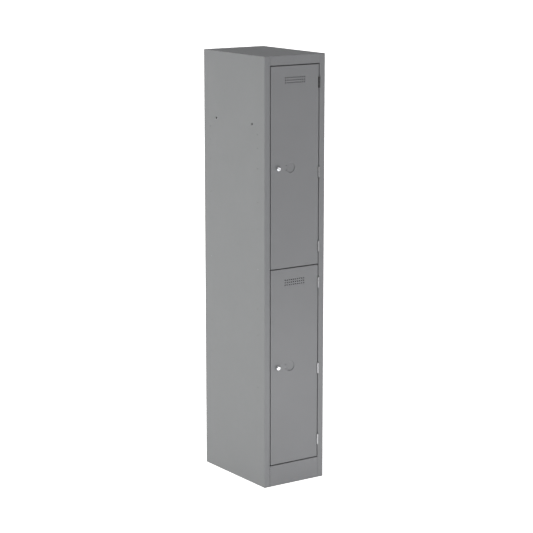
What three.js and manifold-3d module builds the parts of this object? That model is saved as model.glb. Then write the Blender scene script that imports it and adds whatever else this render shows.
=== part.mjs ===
// Two-tier steel locker cabinet: a folded sheet carcass, two hinged doors with cam locks.
// Millimetres, +Z up. The doors face -Y and hinge on the +X side. Inside this file x is
// measured from the outer left face, y from the door front and z from the floor; the last
// lines move the whole cabinet so that its footprint is centred on the origin.
import * as THREE from 'three';
import { mergeVertices } from 'three/addons/utils/BufferGeometryUtils.js';
import Module from 'manifold-3d';

const wasm = await Module();
wasm.setup();

// Overall size
const width = 300;
const depth = 450;
const height = 1800;
const tierNames = ['lower', 'upper'];

// Sheet metal and working gaps
const sheet = 1;
const fitGap = 0.3;
const pinClearance = 0.2;
const roundSides = 12;

// Carcass
const postWidth = 27.5;
const headerHeight = 38.4;
const plinthHeight = 89.6;
const stopLip = 10;
const stopOverlap = 8;
const rearFlange = 15;
const footFlange = 20;
const plinthFoot = 30;
const topFlange = 14;
const shelfFlange = 20;

// Doors
const doorGap = 3.5;
const doorDepth = 18;
const doorLip = 12;
const doorCushion = 2;
const stiffenerWidth = 40;
const stiffenerFoot = 12;
const stiffenerDepth = 13;
const stiffenerMargin = 30;

// Ventilation holes
const ventColumns = 10;
const ventRows = 3;
const ventPitch = 10.4;
const ventRadius = 2.75;
const ventSides = 8;
const ventDrop = 48;

// Round pressed dish beside the lock, with two small holes at its left
const dishRadius = 21.5;
const dishDepth = 3;
const dishSlope = 2;
const dishSides = 28;
const dishFromLock = 64;
const dishHoleRadius = 1.8;
const dishHoleFromLock = 41.5;
const dishHoleSpacing = 20;

// Cam lock
const lockBackset = 34.5;
const lockProud = 10;
const lockHeadRadius = 9.5;
const lockHeadChamfer = 1.5;
const barrelRadius = 8;
const plugRadius = 5.7;
const lockSides = 24;
const nutAcross = 22;
const nutThickness = 4;
const keywayWidth = 1.6;
const keywayHeight = 6.5;
const keywayDepth = 8;
const camThickness = 2;
const camWidth = 14;
const camOverlap = 6.5;
const camClearance = 0.6;
const tailSide = 7;
const camScrewRadius = 2;
const camScrewHeadRadius = 5;
const camScrewHeadHeight = 2.5;
const camScrewLength = 7;
const camScrewSlot = 1;

// Hinges
const hingeHeight = 44;
const knuckleRadius = 4.2;
const knuckleBore = 2.3;
const leafGap = 0.5;
const leafDepth = 16;
const hingeNotch = 1;
const hingeFromEnd = 75.4;
const middleHingeDrop = 29;
const pinHeadRadius = 3;
const pinHeadHeight = 1;

// Holes in the side panels
const punchInsetFront = 48.6;
const punchInsetRear = 48;
const punchRadius = 1.7;
const punchTierChoices = [2, 3, 4, 5, 6];
const joiningHoleRadius = 4.3;
const joiningHoleDrop = 279.5;
const joiningHoleFront = 90;
const joiningHoleRear = 93;

// Rivets, buffers and coat hooks
const rivetRadius = 1.4;
const rivetHeadRadius = 3.2;
const rivetHeadHeight = 1;
const bufferRadius = 4.5;
const bufferStem = 1.7;
const bufferBarb = 2.6;
const bufferFromEnd = 60;
const hookPlateLength = 60;
const hookPlateWidth = 22;
const hookPlateThickness = 1.5;
const hookRodRadius = 2.5;
const hookSweep = 57;
const hookReach = 34;
const hookTip = 31;
const hookSides = 8;
const hookSteps = 10;

// Sizes that follow from the ones above
const tiers = tierNames.length;
const stopDepth = doorDepth + doorCushion;
const behindStop = stopDepth + sheet + fitGap;
const openingLeft = postWidth;
const openingRight = width - postWidth;
const doorWidth = openingRight - openingLeft - 2 * doorGap;
const clearHeight = height - headerHeight - plinthHeight;
const doorHeight = (clearHeight - (tiers + 1) * doorGap) / tiers;
const firstSeam = plinthHeight + doorGap / 2;
const tierPitch = doorHeight + doorGap;
const panelTop = height - sheet - fitGap;
const rearFace = depth - sheet - fitGap;
const insideRear = rearFace - sheet - fitGap;
const insideLeft = sheet + fitGap;
const lockHeight = doorHeight / 2;
const hingeX = openingRight - doorGap / 2;
const leafThickness = (doorGap - 2 * fitGap - leafGap) / 2;
const notchReach = knuckleRadius + hingeNotch;
const notchHeight = hingeHeight + 2 * (pinHeadHeight + hingeNotch);
const leafFront = notchReach;
const camFront = stopDepth + sheet + camClearance;
const camBack = camFront + camThickness;
const camReach = lockBackset + doorGap - stopLip + camOverlap;
const bufferX = postWidth + stopLip / 2;
const bufferHole = bufferStem + fitGap;
const dishX = lockBackset + dishFromLock;
const betweenPosts = [postWidth + fitGap, width - postWidth - fitGap];
const rivetPlaces = { front: punchInsetFront, rear: depth - punchInsetRear };
const knuckleHeight = hingeHeight / 3;

const hingeLevels = {
  top: doorHeight - hingeFromEnd,
  middle: doorHeight / 2 - middleHingeDrop,
  bottom: hingeFromEnd,
};
const doorBottom = (tier) => plinthHeight + doorGap + tier * tierPitch;

const paint = { color: 0x86878a, roughness: 0.5, metalness: 0.1 };
const zincSteel = { color: 0xa9abad, roughness: 0.35, metalness: 0.9 };
const chrome = { color: 0xd4d6d8, roughness: 0.12, metalness: 1 };
const darkSteel = { color: 0x6d6f72, roughness: 0.45, metalness: 0.9 };
const rubber = { color: 0x1d1d1e, roughness: 0.85, metalness: 0 };

// A closed solid from a three.js geometry, with its shared corners merged.
function solid(geometry) {
  geometry.deleteAttribute('normal');
  geometry.deleteAttribute('uv');
  const merged = mergeVertices(geometry);
  const corners = merged.index.array;
  const triVerts = [];
  for (let i = 0; i < corners.length; i += 3) {
    const [a, b, c] = [corners[i], corners[i + 1], corners[i + 2]];
    if (a !== b && b !== c && c !== a) triVerts.push(a, b, c);
  }
  const vertProperties = new Float32Array(merged.attributes.position.array);
  const mesh = new wasm.Mesh({ numProp: 3, vertProperties, triVerts: new Uint32Array(triVerts) });
  return new wasm.Manifold(mesh);
}

function namedMesh(name, body, finish) {
  const { vertProperties, triVerts } = body.getMesh();
  const geometry = new THREE.BufferGeometry();
  geometry.setAttribute('position', new THREE.BufferAttribute(vertProperties, 3));
  geometry.setIndex(new THREE.BufferAttribute(triVerts, 1));
  geometry.computeVertexNormals();
  const mesh = new THREE.Mesh(geometry, new THREE.MeshStandardMaterial(finish));
  mesh.name = name;
  return mesh;
}

function block([x0, x1], [y0, y1], [z0, z1]) {
  const geometry = new THREE.BoxGeometry(x1 - x0, y1 - y0, z1 - z0);
  geometry.translate((x0 + x1) / 2, (y0 + y1) / 2, (z0 + z1) / 2);
  return solid(geometry);
}

// Round bars along each axis; a cone when two radii are given.
function barY([radius, endRadius = radius], [y0, y1], x, z, sides = roundSides) {
  const geometry = new THREE.CylinderGeometry(endRadius, radius, y1 - y0, sides);
  geometry.translate(x, (y0 + y1) / 2, z);
  return solid(geometry);
}

function barX(radius, [x0, x1], y, z, sides = roundSides) {
  const geometry = new THREE.CylinderGeometry(radius, radius, x1 - x0, sides);
  geometry.rotateZ(Math.PI / 2);
  geometry.translate((x0 + x1) / 2, y, z);
  return solid(geometry);
}

function barZ(radius, [z0, z1], x, y, sides = roundSides) {
  const geometry = new THREE.CylinderGeometry(radius, radius, z1 - z0, sides);
  geometry.rotateX(Math.PI / 2);
  geometry.translate(x, y, (z0 + z1) / 2);
  return solid(geometry);
}

// A turned part about the Y axis from its [radius, y] outline.
function turnedY(outline, sides = lockSides) {
  const points = outline.map(([radius, y]) => new THREE.Vector2(radius, y));
  return solid(new THREE.LatheGeometry(points, sides));
}

const join = (bodies) => bodies.reduce((sum, body) => sum.add(body));
const cut = (body, tools) => tools.reduce((rest, tool) => rest.subtract(tool), body);

// Outline of a strip with square folds: the outer corners, with the metal on the right.
function foldedOutline(corners, thickness) {
  const toRight = (from, to) => {
    const length = Math.hypot(to[0] - from[0], to[1] - from[1]);
    return [(to[1] - from[1]) / length, (from[0] - to[0]) / length];
  };
  const inner = corners.map((corner, i) => {
    const sides = [];
    if (i > 0) sides.push(toRight(corners[i - 1], corner));
    if (i < corners.length - 1) sides.push(toRight(corner, corners[i + 1]));
    const shift = (axis) => thickness * sides.reduce((sum, side) => sum + side[axis], 0);
    return [corner[0] + shift(0), corner[1] + shift(1)];
  });
  return new THREE.Shape([...corners, ...inner.reverse()].map(([u, v]) => new THREE.Vector2(u, v)));
}

// A plan outline (x, y) raised along Z, and a side outline (y, z) drawn out along X.
function raised(shape, [z0, z1]) {
  const geometry = new THREE.ExtrudeGeometry(shape, { depth: z1 - z0, bevelEnabled: false });
  geometry.translate(0, 0, z0);
  return solid(geometry);
}

function drawnOut(shape, [x0, x1]) {
  const geometry = new THREE.ExtrudeGeometry(shape, { depth: x1 - x0, bevelEnabled: false });
  const toX = new THREE.Matrix4().makeBasis(
    new THREE.Vector3(0, 1, 0),
    new THREE.Vector3(0, 0, 1),
    new THREE.Vector3(1, 0, 0),
  );
  geometry.applyMatrix4(toX);
  geometry.translate(x0, 0, 0);
  return solid(geometry);
}

const carcass = new THREE.Group();

// Side panels: door stop, post return, post face, side wall and rear flange from one sheet,
// with a foot flange turned in at the floor.
const seamHeights = () => {
  const shares = new Set(punchTierChoices.flatMap((count) => (
    Array.from({ length: count - 1 }, (_, i) => (i + 1) / count)
  )));
  return [...shares].map((share) => firstSeam + share * tiers * tierPitch);
};

function sidePanelBlank(fromOuter) {
  const corners = [
    [postWidth + stopLip, stopDepth],
    [postWidth, stopDepth],
    [postWidth, 0],
    [0, 0],
    [0, rearFace],
    [rearFlange, rearFace],
  ];
  const outline = foldedOutline(corners, sheet).getPoints();
  const turned = new THREE.Shape(outline.map(({ x, y }) => new THREE.Vector2(fromOuter(x), y)));
  const wall = raised(turned, [0, panelTop]);
  const footSpan = [fromOuter(0), fromOuter(footFlange)].sort((a, b) => a - b);
  const foot = block(footSpan, [behindStop, insideRear], [0, sheet]);
  const across = [fromOuter(-sheet), fromOuter(2 * sheet)].sort((a, b) => a - b);
  const punched = seamHeights().flatMap((z) => [
    barX(punchRadius, across, punchInsetFront, z, ventSides),
    barX(punchRadius, across, depth - punchInsetRear, z, ventSides),
  ]);
  const joiningZ = height - joiningHoleDrop;
  const joining = [
    barX(joiningHoleRadius, across, joiningHoleFront, joiningZ),
    barX(joiningHoleRadius, across, depth - joiningHoleRear, joiningZ),
  ];
  return cut(wall.add(foot), [...punched, ...joining]);
}

const bufferHeights = tierNames.map((_, tier) => [
  doorBottom(tier) + bufferFromEnd,
  doorBottom(tier) + doorHeight - bufferFromEnd,
]);

function leftSidePanel() {
  const stemHoles = bufferHeights.flat().map((z) => (
    barY([bufferHole], [stopDepth - sheet, stopDepth + 2 * sheet], bufferX, z, ventSides)
  ));
  return cut(sidePanelBlank((x) => x), stemHoles);
}

const hingeHeights = tierNames.flatMap((_, tier) => (
  Object.values(hingeLevels).map((level) => doorBottom(tier) + level)
));

const hingeNotchAt = (x, z) => block(
  [x - notchReach, x + notchReach],
  [-notchReach, notchReach],
  [z - notchHeight / 2, z + notchHeight / 2],
);

function rightSidePanel() {
  return cut(sidePanelBlank((x) => width - x), hingeHeights.map((z) => hingeNotchAt(hingeX, z)));
}

// Top: a lid with the header folded down between the posts and flanges inside the sides.
function cornerNotches() {
  const clear = postWidth + stopLip + fitGap;
  const past = [stopDepth - fitGap, behindStop];
  return [[0, clear], [width - clear, width]].map((span) => block(span, past, [0, height - sheet]));
}

function topPanel() {
  const headerBottom = height - headerHeight;
  const profile = foldedOutline([
    [stopDepth, headerBottom - stopOverlap],
    [stopDepth, headerBottom],
    [0, headerBottom],
    [0, height],
  ], sheet);
  const header = cut(drawnOut(profile, betweenPosts), cornerNotches());
  const lid = block([0, width], [0, depth], [height - sheet, height]);
  const flangeDepth = [behindStop, insideRear - rearFlange];
  const flangeHeight = [height - topFlange, height - sheet / 2];
  const flanges = [insideLeft, width - insideLeft - sheet].map((x) => (
    block([x, x + sheet], flangeDepth, flangeHeight)
  ));
  return join([lid, header, ...flanges]);
}

function plinthPanel() {
  const profile = foldedOutline([
    [plinthFoot, 0],
    [0, 0],
    [0, plinthHeight],
    [stopDepth, plinthHeight],
    [stopDepth, plinthHeight + stopOverlap],
  ], sheet);
  return cut(drawnOut(profile, betweenPosts), cornerNotches());
}

// Shelves: shallow trays with all four edges folded down, standing behind the door stops.
function shelf(seam) {
  const top = seam + shelfFlange / 2;
  const across = [insideLeft, width - insideLeft];
  const along = [behindStop, insideRear];
  const tray = block(across, along, [top - shelfFlange, top]);
  const hollow = block(
    [across[0] + sheet, across[1] - sheet],
    [along[0] + sheet, along[1] - sheet],
    [top - shelfFlange - sheet, top - sheet],
  );
  return tray.subtract(hollow);
}

function middleShelf(seam) {
  const reach = rivetRadius + pinClearance;
  const holes = Object.values(rivetPlaces).flatMap((y) => [
    barX(reach, [0, insideLeft + 2 * sheet], y, seam, ventSides),
    barX(reach, [width - insideLeft - 2 * sheet, width], y, seam, ventSides),
  ]);
  return cut(shelf(seam), holes);
}

// Flush blind rivet: shank level with the outer wall, head inside the shelf flange.
function rivet() {
  const inside = insideLeft + sheet + fitGap;
  const shank = barX(rivetRadius, [0, inside + rivetHeadHeight / 2], 0, 0, ventSides);
  const head = barX(rivetHeadRadius, [inside, inside + rivetHeadHeight], 0, 0);
  return shank.add(head);
}

// Rubber buffer: pad in front of the door stop, stem through it and a barb behind.
function buffer() {
  const padBack = stopDepth - fitGap;
  const padFront = doorDepth + fitGap;
  const barbFront = behindStop;
  return turnedY([
    [0, padFront],
    [bufferRadius, padFront],
    [bufferRadius, padBack],
    [bufferStem, padBack],
    [bufferStem, barbFront],
    [bufferBarb, barbFront],
    [0, barbFront + bufferBarb],
  ], roundSides);
}

// Double coat hook: a plate under the ceiling with two prongs that turn up.
function coatHook() {
  const half = hookPlateWidth / 2;
  const plate = block([-hookPlateLength / 2, hookPlateLength / 2], [-half, half], [-hookPlateThickness, 0]);
  const prong = (side) => {
    const path = new THREE.CubicBezierCurve3(
      new THREE.Vector3(side * hookRodRadius, 0, -hookPlateThickness / 2),
      new THREE.Vector3(side * hookRodRadius, 0, -hookSweep),
      new THREE.Vector3(side * hookReach, 0, -hookSweep),
      new THREE.Vector3(side * hookReach, 0, hookTip - hookSweep),
    );
    const section = new THREE.Shape().absarc(0, 0, hookRodRadius, 0, 2 * Math.PI);
    return solid(new THREE.ExtrudeGeometry(section, {
      steps: hookSteps,
      curveSegments: hookSides / 2,
      extrudePath: path,
      bevelEnabled: false,
    }));
  };
  return join([plate, prong(-1), prong(1)]);
}

// Hinge: a fixed leaf with the two outer knuckles, a door leaf with the middle one, a pin.
const outerSpans = [
  [-hingeHeight / 2, -knuckleHeight / 2],
  [knuckleHeight / 2, hingeHeight / 2],
];
const middleSpan = [-knuckleHeight / 2 + fitGap, knuckleHeight / 2 - fitGap];

function hingeLeaf(spans, side) {
  const inner = leafGap / 2;
  const faces = [side * inner, side * (inner + leafThickness)].sort((a, b) => a - b);
  const full = [-hingeHeight / 2, hingeHeight / 2];
  const leaf = block(faces, [leafFront, leafFront + leafDepth - notchReach], full);
  const tabs = spans.map((span) => block(faces, [knuckleBore, leafFront + fitGap], span));
  const knuckles = spans.map((span) => barZ(knuckleRadius, span, 0, 0));
  const bore = barZ(knuckleBore, [-hingeHeight, hingeHeight], 0, 0);
  return join([leaf, ...tabs, ...knuckles]).subtract(bore);
}

function hingePin() {
  const half = hingeHeight / 2;
  const headSpan = [half + fitGap, half + fitGap + pinHeadHeight];
  const reach = half + fitGap + pinHeadHeight / 2;
  const shank = barZ(knuckleBore - pinClearance, [-reach, reach], 0, 0);
  const heads = [headSpan, [-headSpan[1], -headSpan[0]]].map((span) => barZ(pinHeadRadius, span, 0, 0));
  return join([shank, ...heads]);
}

// Door pan: a tray with its rim folded inwards, the vent field, the round dish and holes.
function doorPan() {
  const tray = (inset, span) => (
    block([inset, doorWidth - inset], span, [inset, doorHeight - inset])
  );
  const outer = tray(0, [0, doorDepth]);
  const inside = tray(sheet, [sheet, doorDepth - sheet]);
  const mouth = tray(doorLip, [sheet, doorDepth + sheet]);
  const dish = (from) => (
    barY([dishRadius, dishRadius - dishSlope], [from, from + dishDepth], dishX, lockHeight, dishSides)
  );
  const backing = dish(sheet).add(barY([dishRadius], [sheet / 2, sheet], dishX, lockHeight, dishSides));
  const through = [-sheet, 2 * sheet];
  const vents = [];
  for (let row = 0; row < ventRows; row += 1) {
    for (let column = 0; column < ventColumns; column += 1) {
      const x = doorWidth / 2 + (column - (ventColumns - 1) / 2) * ventPitch;
      vents.push(barY([ventRadius], through, x, doorHeight - ventDrop - row * ventPitch, ventSides));
    }
  }
  const dishHoleHeights = [lockHeight - dishHoleSpacing / 2, lockHeight + dishHoleSpacing / 2];
  const dishHoles = dishHoleHeights.map((z) => (
    barY([dishHoleRadius], through, lockBackset + dishHoleFromLock, z, ventSides)
  ));
  const lockHole = barY([barrelRadius + fitGap], through, lockBackset, lockHeight, lockSides);
  const notches = Object.values(hingeLevels).map((level) => hingeNotchAt(doorWidth + doorGap / 2, level));
  const pressed = cut(outer, [inside, mouth]).add(backing).subtract(dish(0));
  return cut(pressed, [...vents, ...dishHoles, lockHole, ...notches]);
}

// Top-hat stiffener behind the door skin, on the hinge side of the vents and the lock.
function doorStiffener() {
  const front = sheet + fitGap;
  const crown = [stiffenerFoot, stiffenerWidth - stiffenerFoot];
  const corners = [
    [stiffenerWidth, front],
    [crown[1], front],
    [crown[1], front + stiffenerDepth],
    [crown[0], front + stiffenerDepth],
    [crown[0], front],
    [0, front],
  ];
  const top = doorHeight - ventDrop - ventRows * ventPitch;
  return raised(foldedOutline(corners, sheet), [stiffenerMargin, top]);
}

// Cam lock: head and threaded barrel, hexagon nut, plug with keyway, cam and its screw.
function lockBody() {
  const bore = plugRadius + fitGap;
  return turnedY([
    [bore, -lockProud],
    [lockHeadRadius - lockHeadChamfer, -lockProud],
    [lockHeadRadius, -lockProud + lockHeadChamfer],
    [lockHeadRadius, -fitGap],
    [barrelRadius, -fitGap],
    [barrelRadius, doorDepth],
    [bore, doorDepth],
    [bore, -lockProud],
  ]);
}

function lockNut() {
  const front = sheet + fitGap;
  const corner = nutAcross / Math.sqrt(3);
  const hexagon = barY([corner], [front, front + nutThickness], 0, 0, 6);
  return hexagon.subtract(barY([barrelRadius + fitGap], [0, front + 2 * nutThickness], 0, 0, lockSides));
}

function lockPlug() {
  const face = -lockProud + fitGap;
  const body = barY([plugRadius], [face, camFront - fitGap], 0, 0, lockSides);
  const half = tailSide / 2;
  const tail = block([-half, half], [camFront - 2 * fitGap, camBack], [-half, half]);
  const keyway = block(
    [-keywayWidth / 2, keywayWidth / 2],
    [face - sheet, face + keywayDepth],
    [-keywayHeight / 2, keywayHeight / 2],
  );
  const threadHole = barY([camScrewRadius + fitGap], [camBack - camScrewLength, camBack + sheet], 0, 0);
  return cut(body.add(tail), [keyway, threadHole]);
}

// The cam hangs down at rest and turns a quarter turn to reach behind the left door stop.
function lockCam() {
  const half = camWidth / 2;
  const hub = barY([half], [camFront, camBack], 0, 0, lockSides);
  const arm = block([-half, half], [camFront, camBack], [-camReach, 0]);
  const socket = tailSide / 2 + fitGap;
  const square = block([-socket, socket], [camFront - sheet, camBack + sheet], [-socket, socket]);
  return join([hub, arm]).subtract(square);
}

function camScrew() {
  const headFront = camBack + fitGap;
  const head = barY([camScrewHeadRadius], [headFront, headFront + camScrewHeadHeight], 0, 0);
  const shank = barY([camScrewRadius], [camBack - camScrewLength + 2 * fitGap, headFront + fitGap], 0, 0);
  const slot = block(
    [-camScrewHeadRadius, camScrewHeadRadius],
    [headFront + camScrewHeadHeight - camScrewSlot, headFront + 2 * camScrewHeadHeight],
    [-camScrewSlot / 2, camScrewSlot / 2],
  );
  return head.add(shank).subtract(slot);
}

carcass.add(namedMesh('left_side_panel', leftSidePanel(), paint));
carcass.add(namedMesh('right_side_panel', rightSidePanel(), paint));
carcass.add(namedMesh('back_panel', block([0, width], [depth - sheet, depth], [0, panelTop]), paint));
carcass.add(namedMesh('top_panel', topPanel(), paint));
carcass.add(namedMesh('plinth_panel', plinthPanel(), paint));
carcass.add(namedMesh('bottom_shelf', shelf(firstSeam), paint));
carcass.add(namedMesh('middle_shelf', middleShelf(firstSeam + tierPitch), paint));

for (const [place, y] of Object.entries(rivetPlaces)) {
  const left = namedMesh(`shelf_rivet_left_${place}`, rivet(), zincSteel);
  const right = namedMesh(`shelf_rivet_right_${place}`, rivet(), zincSteel);
  left.position.set(0, y, firstSeam + tierPitch);
  right.position.set(width, y, firstSeam + tierPitch);
  right.rotation.z = Math.PI;
  carcass.add(left, right);
}

tierNames.forEach((name, tier) => {

  bufferHeights[tier].forEach((z, i) => {
    const pad = namedMesh(`${name}_buffer_${['bottom', 'top'][i]}`, buffer(), rubber);
    pad.position.set(bufferX, 0, z);
    carcass.add(pad);
  });

  const shelfAbove = firstSeam + (tier + 1) * tierPitch + shelfFlange / 2;
  const ceiling = (tier === tiers - 1 ? height : shelfAbove) - sheet;
  const hook = namedMesh(`${name}_coat_hook`, coatHook(), zincSteel);
  hook.position.set(width / 2, depth / 2, ceiling - fitGap);
  carcass.add(hook);

  for (const [place, level] of Object.entries(hingeLevels)) {
    const fixed = namedMesh(`${name}_hinge_${place}_frame_leaf`, hingeLeaf(outerSpans, 1), zincSteel);
    const pin = namedMesh(`${name}_hinge_${place}_pin`, hingePin(), zincSteel);
    fixed.position.set(hingeX, 0, doorBottom(tier) + level);
    pin.position.copy(fixed.position);
    carcass.add(fixed, pin);
  }

  const door = new THREE.Group();
  door.position.set(openingLeft + doorGap, 0, doorBottom(tier));
  door.add(namedMesh(`${name}_door_pan`, doorPan(), paint));

  const stiffener = namedMesh(`${name}_door_stiffener`, doorStiffener(), paint);
  stiffener.position.x = dishX + dishRadius + stiffenerFoot;
  door.add(stiffener);

  for (const [place, level] of Object.entries(hingeLevels)) {
    const leaf = namedMesh(`${name}_hinge_${place}_door_leaf`, hingeLeaf([middleSpan], -1), zincSteel);
    leaf.position.set(doorWidth + doorGap / 2, 0, level);
    door.add(leaf);
  }

  const lock = new THREE.Group();
  lock.position.set(lockBackset, 0, lockHeight);
  lock.add(namedMesh(`${name}_lock_body`, lockBody(), chrome));
  lock.add(namedMesh(`${name}_lock_nut`, lockNut(), zincSteel));
  lock.add(namedMesh(`${name}_lock_plug`, lockPlug(), chrome));
  lock.add(namedMesh(`${name}_lock_cam`, lockCam(), zincSteel));
  lock.add(namedMesh(`${name}_cam_screw`, camScrew(), darkSteel));
  door.add(lock);
  carcass.add(door);
});

carcass.position.set(-width / 2, -(depth - lockProud) / 2, 0);
const group = new THREE.Group();
group.add(carcass);

export default group;
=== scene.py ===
# The two-tier steel locker: folded and powder-coated sheet, knuckle hinges and cam locks, made
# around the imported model. Metres, +Z up, the doors face -Y and hinge on the +X side.
import math

import bmesh
import bpy
from mathutils import Matrix, Vector


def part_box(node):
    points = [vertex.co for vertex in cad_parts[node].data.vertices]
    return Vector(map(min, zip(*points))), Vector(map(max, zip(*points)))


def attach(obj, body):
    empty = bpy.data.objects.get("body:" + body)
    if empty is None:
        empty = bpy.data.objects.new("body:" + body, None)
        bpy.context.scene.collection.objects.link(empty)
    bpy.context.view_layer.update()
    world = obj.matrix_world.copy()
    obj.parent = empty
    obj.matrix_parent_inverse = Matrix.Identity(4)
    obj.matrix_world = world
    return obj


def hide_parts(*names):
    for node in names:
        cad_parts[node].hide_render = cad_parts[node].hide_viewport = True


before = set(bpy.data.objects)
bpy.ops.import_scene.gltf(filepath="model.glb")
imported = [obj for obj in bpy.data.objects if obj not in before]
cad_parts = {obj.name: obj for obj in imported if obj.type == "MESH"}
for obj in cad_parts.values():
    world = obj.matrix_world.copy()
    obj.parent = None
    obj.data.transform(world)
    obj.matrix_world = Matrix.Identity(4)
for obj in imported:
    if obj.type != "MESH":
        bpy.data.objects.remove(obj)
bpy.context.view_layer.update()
MM = 0.001

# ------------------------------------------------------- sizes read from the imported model
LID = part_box("top_panel")
LEFT, RIGHT, FRONT, BACK = LID[0].x, LID[1].x, LID[0].y, LID[1].y
TOP = LID[1].z
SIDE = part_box("left_side_panel")
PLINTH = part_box("plinth_panel")
BACK_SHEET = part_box("back_panel")
SEAM_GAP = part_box("upper_door_pan")[0].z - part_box("lower_door_pan")[1].z
TIERS = ("lower", "upper")
HINGES = ("top", "middle", "bottom")

# ------------------------------------------------------- sizes of the sheet work
SHEET = 1.0 * MM
FIT = 0.3 * MM             # play between two pieces
BEND = 0.9 * MM            # inside radius of a fold
BEND_STEPS = 4
EDGE = 0.22 * MM           # rounding of a cut edge under the paint
PAST_FOLD = 1.3 * SHEET    # clear of a neighbour's fold
POST = 27.5 * MM
STOP_DEPTH = 20 * MM
STOP_LIP = SIDE[1].x - LEFT - POST
STOP_OVERLAP = 8 * MM
REAR_FLANGE = 15 * MM
FOOT_FLANGE = 20 * MM
TOP_FLANGE = 14 * MM
PLINTH_FOOT = PLINTH[1].y - FRONT
STIFFENER_FOOT = 12 * MM
DOOR_LIP = 12 * MM

# ------------------------------------------------------- sizes of the holes and marks
HOLE_SIDES = 24
HOLE_DEPTH = 6 * SHEET
PUNCH_RADIUS = 1.7 * MM
PUNCH_COLUMNS = (FRONT + 48.6 * MM, BACK - 48 * MM)
PUNCH_TIERS = (2, 3, 4, 5, 6)
RIVET_HOLE_RADIUS = 1.6 * MM
BUFFER_HOLE_RADIUS = 2 * MM
JOIN_RADIUS = 4.3 * MM
JOIN_DROP = 279.5 * MM
JOIN_COLUMNS = (FRONT + 90 * MM, BACK - 93 * MM)
VENT_COLUMNS = 10
VENT_ROWS = 3
VENT_PITCH = 10.4 * MM
VENT_RADIUS = 2.75 * MM
VENT_DROP = 48 * MM
DISH_RADIUS = 21.5 * MM
DISH_SLOPE = 2.0 * MM
DISH_DEPTH = 3 * MM
DISH_STEPS = 8
DISH_SIDES = 96
DISH_FROM_LOCK = 64 * MM
DISH_HOLE_RADIUS = 1.8 * MM
DISH_HOLE_FROM_LOCK = 41.5 * MM
DISH_HOLE_SPACING = 20 * MM
KNUCKLE_NOTCH = 5.2 * MM
WELD_COUNT = 15
WELD_INSET = 40 * MM
WELD_RADIUS = 2.6 * MM
WELD_FLATNESS = 0.12

# ------------------------------------------------------- camera, light and floor
CAMERA_PLACE = (-4.3227, -6.3400, 2.4365)
CAMERA_PITCH = 78.62
CAMERA_TURN = -34.349
LENS = 125.0
SENSOR = 36
VIEW_REACH = 250
# (sine of the height above the horizon, brightness) of the studio walls and ceiling
SKY = ((0.0, 1.0), (0.04, 0.20), (0.75, 0.20), (0.97, 2.4))
# name, place, what it aims at, width and height, watts, colour
SOFTBOXES = (
    ("softbox_left", (-3.8, 0.7, 0.8), (0, 0, 0.7), (2.4, 2.0), 50, (0.955, 1.0, 0.90)),
    ("softbox_low_front", (0.1, -1.4, 0.2), (0, 0, 0.25), (1.4, 0.3), 3.4, (1, 1, 1)),
)
FLOOR_REACH = 100
FLOOR_SHADES = ((0.93, 0.93, 0.93, 1), (0.95, 0.95, 0.95, 1))
FLOOR_GLOW = 0.78
# the dark patch of floor hidden under the cabinet, half its width and half its depth
FLOOR_DARK = (RIGHT - 2 * SHEET, BACK - 10 * SHEET)
FLOOR_DARK_EDGE = 200.0
BLACK, WHITE = (0, 0, 0, 1), (1, 1, 1, 1)


def build_camera():
    data = bpy.data.cameras.new("camera")
    data.lens = LENS
    data.sensor_width = SENSOR
    data.clip_end = VIEW_REACH
    camera = bpy.data.objects.new("camera", data)
    camera.location = CAMERA_PLACE
    camera.rotation_euler = (math.radians(CAMERA_PITCH), 0, math.radians(CAMERA_TURN))
    bpy.context.scene.collection.objects.link(camera)
    bpy.context.scene.camera = camera


def area_light(name, place, target, size, power, colour):
    data = bpy.data.lights.new(name, "AREA")
    data.shape = "RECTANGLE"
    data.size, data.size_y = size
    data.energy = power
    data.color = colour
    lamp = bpy.data.objects.new(name, data)
    lamp.location = place
    aim = Vector(target) - Vector(place)
    lamp.rotation_euler = aim.to_track_quat("-Z", "Y").to_euler()
    bpy.context.scene.collection.objects.link(lamp)


def build_light():
    world = bpy.data.worlds.new("studio")
    world.use_nodes = True
    tree = world.node_tree
    place = tree.nodes.new("ShaderNodeTexCoord")
    split = tree.nodes.new("ShaderNodeSeparateXYZ")
    fade = tree.nodes.new("ShaderNodeValToRGB")
    while len(fade.color_ramp.elements) < len(SKY):
        fade.color_ramp.elements.new(0.5)
    for stop, (height, glow) in zip(fade.color_ramp.elements, SKY):
        stop.position = height
        stop.color = (glow, glow, glow, 1)
    tree.links.new(place.outputs["Object"], split.inputs["Vector"])
    tree.links.new(split.outputs["Z"], fade.inputs["Fac"])
    tree.links.new(fade.outputs["Color"], tree.nodes["Background"].inputs["Strength"])
    tree.nodes["Background"].inputs["Color"].default_value = WHITE
    bpy.context.scene.world = world
    bpy.context.scene.view_settings.view_transform = "Standard"
    for softbox in SOFTBOXES:
        area_light(*softbox)


# ------------------------------------------------------- shader maths
class Socket:
    """A shader value that adds Math nodes when it is used in an expression."""

    def __init__(self, tree, link):
        self.tree = tree
        self.link = link

    def _math(self, operation, *values):
        node = self.tree.nodes.new("ShaderNodeMath")
        node.operation = operation
        for slot, value in zip(node.inputs, values):
            if isinstance(value, Socket):
                self.tree.links.new(value.link, slot)
            else:
                slot.default_value = value
        return Socket(self.tree, node.outputs[0])

    def __add__(self, other):
        return self._math("ADD", self, other)

    def __radd__(self, other):
        return self._math("ADD", other, self)

    def __sub__(self, other):
        return self._math("SUBTRACT", self, other)

    def __mul__(self, other):
        return self._math("MULTIPLY", self, other)

    def __truediv__(self, other):
        return self._math("DIVIDE", self, other)

    def clamp(self):
        return self._math("MAXIMUM", self._math("MINIMUM", self, 1.0), 0.0)

    def size(self):
        return self._math("ABSOLUTE", self)

    def larger(self, other):
        return self._math("MAXIMUM", self, other)


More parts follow.
